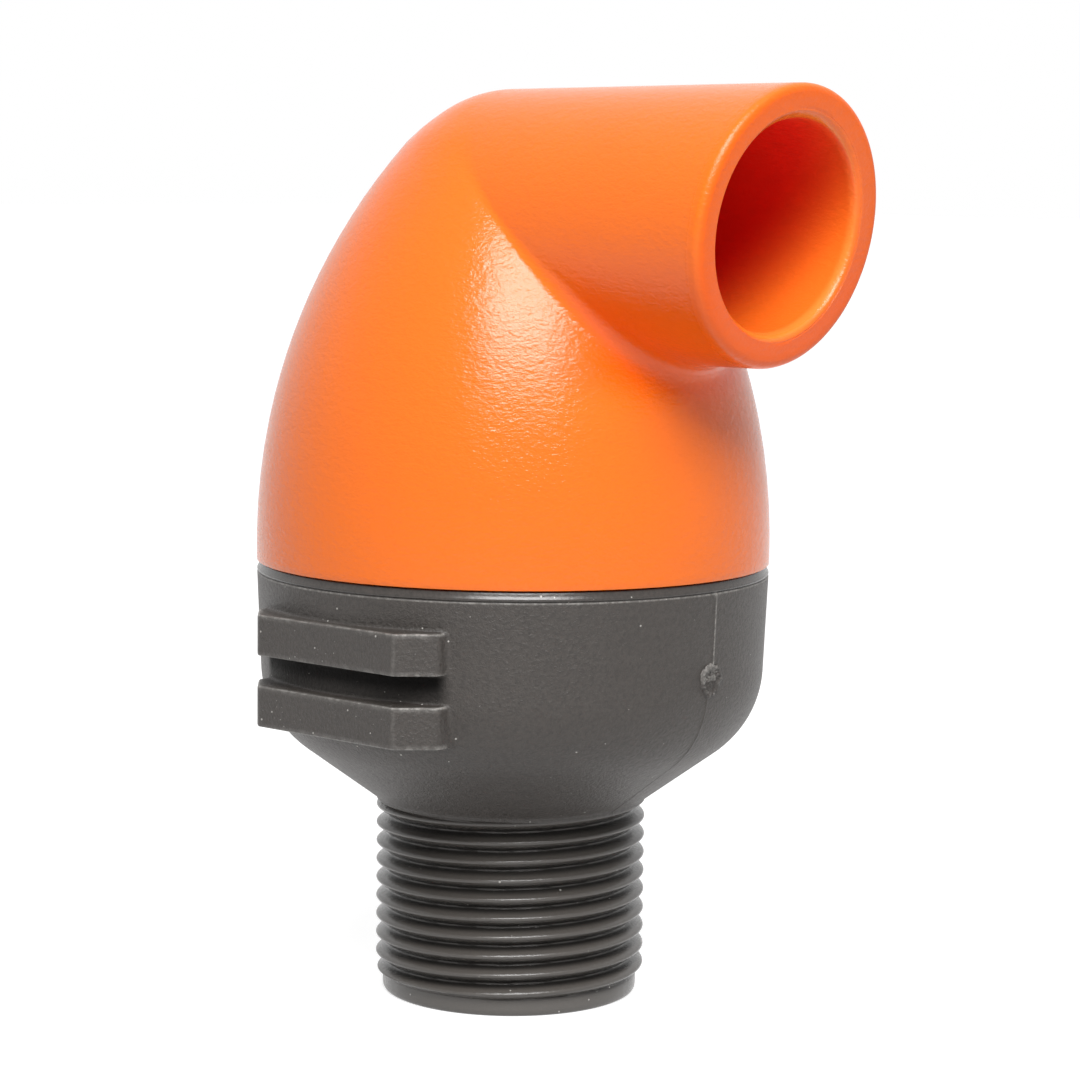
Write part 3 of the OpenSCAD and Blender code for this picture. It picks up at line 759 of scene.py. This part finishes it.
def add_ribs(bm):
    """Ribs inside the base that guide the cage and carry it on their ledges."""
    sunk, foot_z, inner_foot_z = 0.4, RIB_LEDGE_Z - 3.0, RIB_LEDGE_Z - 4.0

    def on_wall(z):
        return float(body_radius(np.array(z))) - BASE_WALL + sunk, z

    outline = [on_wall(RIB_TOP_Z), (RIB_IN_R, RIB_TOP_Z), (RIB_IN_R, RIB_LEDGE_Z), (RIB_LEDGE_R, RIB_LEDGE_Z),
               (RIB_LEDGE_R, inner_foot_z), on_wall(foot_z), on_wall(36.0), on_wall(39.5)]
    for number in range(RIB_COUNT):
        corners = [bm.verts.new((x, -RIB_T / 2, z)) for x, z in outline]
        face = bm.faces.new(corners)
        grown = bmesh.ops.extrude_face_region(bm, geom=[face])["geom"]
        raised = [item for item in grown if isinstance(item, bmesh.types.BMVert)]
        bmesh.ops.translate(bm, verts=raised, vec=(0, RIB_T, 0))
        turn = Matrix.Rotation(2 * math.pi * number / RIB_COUNT, 3, "Z")
        bmesh.ops.rotate(bm, verts=corners + raised, cent=(0, 0, 0), matrix=turn)


def pale_wear_and_highlight(x, y, z):
    """About 1 where the base is painted pale: lug edges, from rubbing and a painted highlight, the step under
    the bead, seam, gate scar and flash.
    """
    level = np.minimum(np.abs(np.abs(z - LUG_UPPER) - LUG_H / 2), np.abs(np.abs(z - LUG_LOWER) - LUG_H / 2))
    outside = np.hypot(x, y) > side_radius(z) + 0.3
    slope = (np.abs(x) > LUG_HALF_W - 0.3) * (np.abs(x) < LUG_END_X)
    # Lug edges, pale from rubbing and a painted highlight
    lugs = (0.7 + 0.5 * slope) * np.exp(-(level / 0.2) ** 2 - (lug_plan(x, y) / 0.26) ** 2) * outside
    corner = np.hypot(np.abs(x) - LUG_HALF_W, np.abs(y) - LUG_FLAT)
    lugs = np.maximum(lugs, 0.22 * np.exp(-(corner / 0.25) ** 2) * (z > LUG_LOWER - LUG_H / 2) * outside)
    around = np.hypot(x, y)
    step = 0.7 * np.exp(-((z - BASE_H + 1.31) / 0.06) ** 2) * (around > JOINT_R - 0.15)
    on_seam = (np.abs(y) < 1.6) * (x > 0) * (z > SCAR_Z) * (z < BASE_H - 1.3)
    seam = 0.6 * (around > side_radius(z) + 0.02) * on_seam
    rough = around - side_radius(z)
    scar = 0.5 * (np.hypot(y - SCAR_Y, z - SCAR_Z) < 2.4) * (x > 0) * smooth(0.2, 0.45, rough)
    flash = 0.9 * np.exp(-(np.hypot(y - 0.95, z - BASE_H + 1.42) / 0.28) ** 2) * (x > 0)
    return np.max((lugs, step, seam, scar, flash), axis=0)


def make_base(material):
    """Skins the base, adds its gate scar and ribs, and marks where it is painted pale, from rubbing and a
    painted highlight.
    """
    bm = bmesh.new()
    first, last = grow_rings(bm, base_rings())
    bmesh.ops.bridge_loops(bm, edges=row_edges(bm, first) + row_edges(bm, last))
    add_gate_scar(bm)
    add_ribs(bm)
    base = finish_piece(bm, "base_moulding", material)
    spots = np.array([vertex.co for vertex in base.data.vertices]) / MM
    worn = base.data.attributes.new("worn", "FLOAT", "POINT")
    worn.data.foreach_set("value", pale_wear_and_highlight(*spots.T).astype(np.float32))
    return base


# Floor, lights and background

def make_stage():
    """A pale floor that shows white but for the soft shadow, a bright sweep behind and one soft box."""
    net = Finish("pale_floor", Roughness=0.95)
    seen = net.background_ray()
    net.into("Base Color", net.mix(net.noise(60, 2), (0.53, 0.53, 0.53, 1), (0.55, 0.55, 0.55, 1)))
    net.into("Emission Color", net.mix(seen, (0, 0, 0, 1), (1, 1, 1, 1)))
    net.shader.inputs["Emission Strength"].default_value = 0.75
    bm = bmesh.new()
    floor_half, floor_drop = 6000, 0.02
    bmesh.ops.create_grid(bm, x_segments=8, y_segments=8, size=floor_half)
    bmesh.ops.translate(bm, verts=bm.verts, vec=(0, 0, -floor_drop))
    finish_piece(bm, "floor", net.material)

    world = bpy.data.worlds.new("studio")
    bpy.context.scene.world = world
    world.use_nodes = True
    sky = Net(world.node_tree)
    way = sky.node("ShaderNodeTexCoord", {}, {}, "Generated")
    to_back = (-0.67, 0.74, 0.0)
    behind = sky.node("ShaderNodeVectorMath", {"operation": "DOT_PRODUCT"}, {0: way, 1: to_back}, "Value")
    seen = sky.background_ray()
    sweep = 0.12 + behind.ramp(0.2, 0.95) * 1.6
    level = seen + (1.0 - seen) * sweep
    light = sky.node("ShaderNodeBackground", {}, {"Color": (1, 1, 1, 1), "Strength": level}, 0)
    output = sky.tree.nodes.new("ShaderNodeOutputWorld")
    sky.tree.links.new(light.socket, output.inputs["Surface"])

    def soft_box(name, azimuth, elevation, distance, width, height, power):
        turn, rise = math.radians(azimuth), math.radians(elevation)
        back = Vector((math.sin(turn) * math.cos(rise), -math.cos(turn) * math.cos(rise), math.sin(rise)))
        data = bpy.data.lights.new(name, "AREA")
        data.shape = "RECTANGLE"
        data.size, data.size_y = width, height
        data.energy = power
        lamp = bpy.data.objects.new(name, data)
        aim = back.to_track_quat("Z", "Y").to_matrix().to_4x4()
        lamp.matrix_world = Matrix.Translation(Vector((0, 0, 0.06)) + back * distance) @ aim
        bpy.context.scene.collection.objects.link(lamp)

    soft_box("key", 47, 48, 0.6, 0.36, 0.3, 5.0)
    bpy.context.scene.view_settings.view_transform = "Standard"


make_camera()
make_stage()

orange = orange_plastic()
grey = grey_plastic()

cap = make_cap(orange)
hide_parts("cap")
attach(cap, "cap")

base = make_base(grey)
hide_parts("base")
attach(base, "base")

rubber = plain_plastic("black_rubber", shade(24, 24, 25), shade(38, 38, 39), 0.5, 0.3)
acetal = plain_plastic("white_acetal", shade(214, 212, 204), shade(230, 228, 221), 0.35, 0.5)
pale = plain_plastic("float_plastic", shade(206, 205, 199), shade(222, 221, 215), 0.4, 0.4)
brass = turned_brass()
finishes = {"rubber": rubber, "acetal": acetal, "brass": brass, "float_plastic": pale}
for part in frame["record"]["subparts"]:
    if part["material_slot"] in finishes:
        for place in frame["nodes"][part["node"]].material_slots:
            place.material = finishes[part["material_slot"]]
